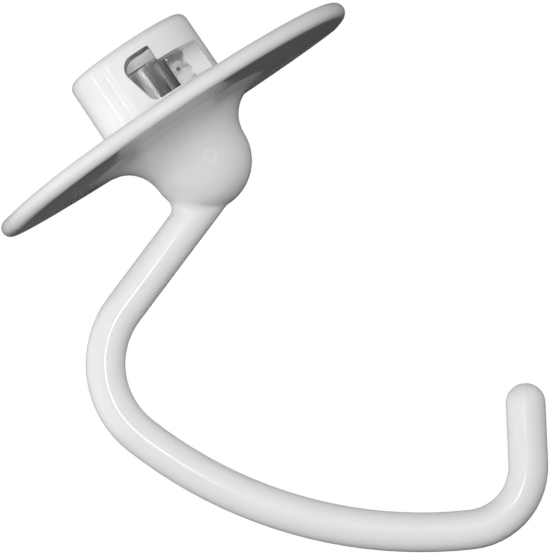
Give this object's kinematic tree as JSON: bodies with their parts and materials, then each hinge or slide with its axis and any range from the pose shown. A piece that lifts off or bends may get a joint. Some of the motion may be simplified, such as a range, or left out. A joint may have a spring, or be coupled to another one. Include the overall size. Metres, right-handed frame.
{
  "type": "stand mixer dough hook",
  "caption": "White-coated cast dough hook: bayonet hub with a blind shaft bore, round dough shield, bullet-shaped boss and a round rod bent into an open C with an upturned tip.",
  "frame": {"origin": "on the axis of the shaft bore, at the middle of the dough shield's thickness", "axes": "+Z along the bore axis, out of the hub's mouth; the hook's rod lies in the XZ plane with its outer bend towards -X; the pin window faces -Y"},
  "size_m": [0.1026, 0.0972, 0.1474],
  "materials": {
    "white_coating": "gloss white coating on cast aluminium, bare in the bore and pin window"
  },
  "bodies": {
    "root": {"dough_hook": "white_coating"}
  },
  "joints": []
}
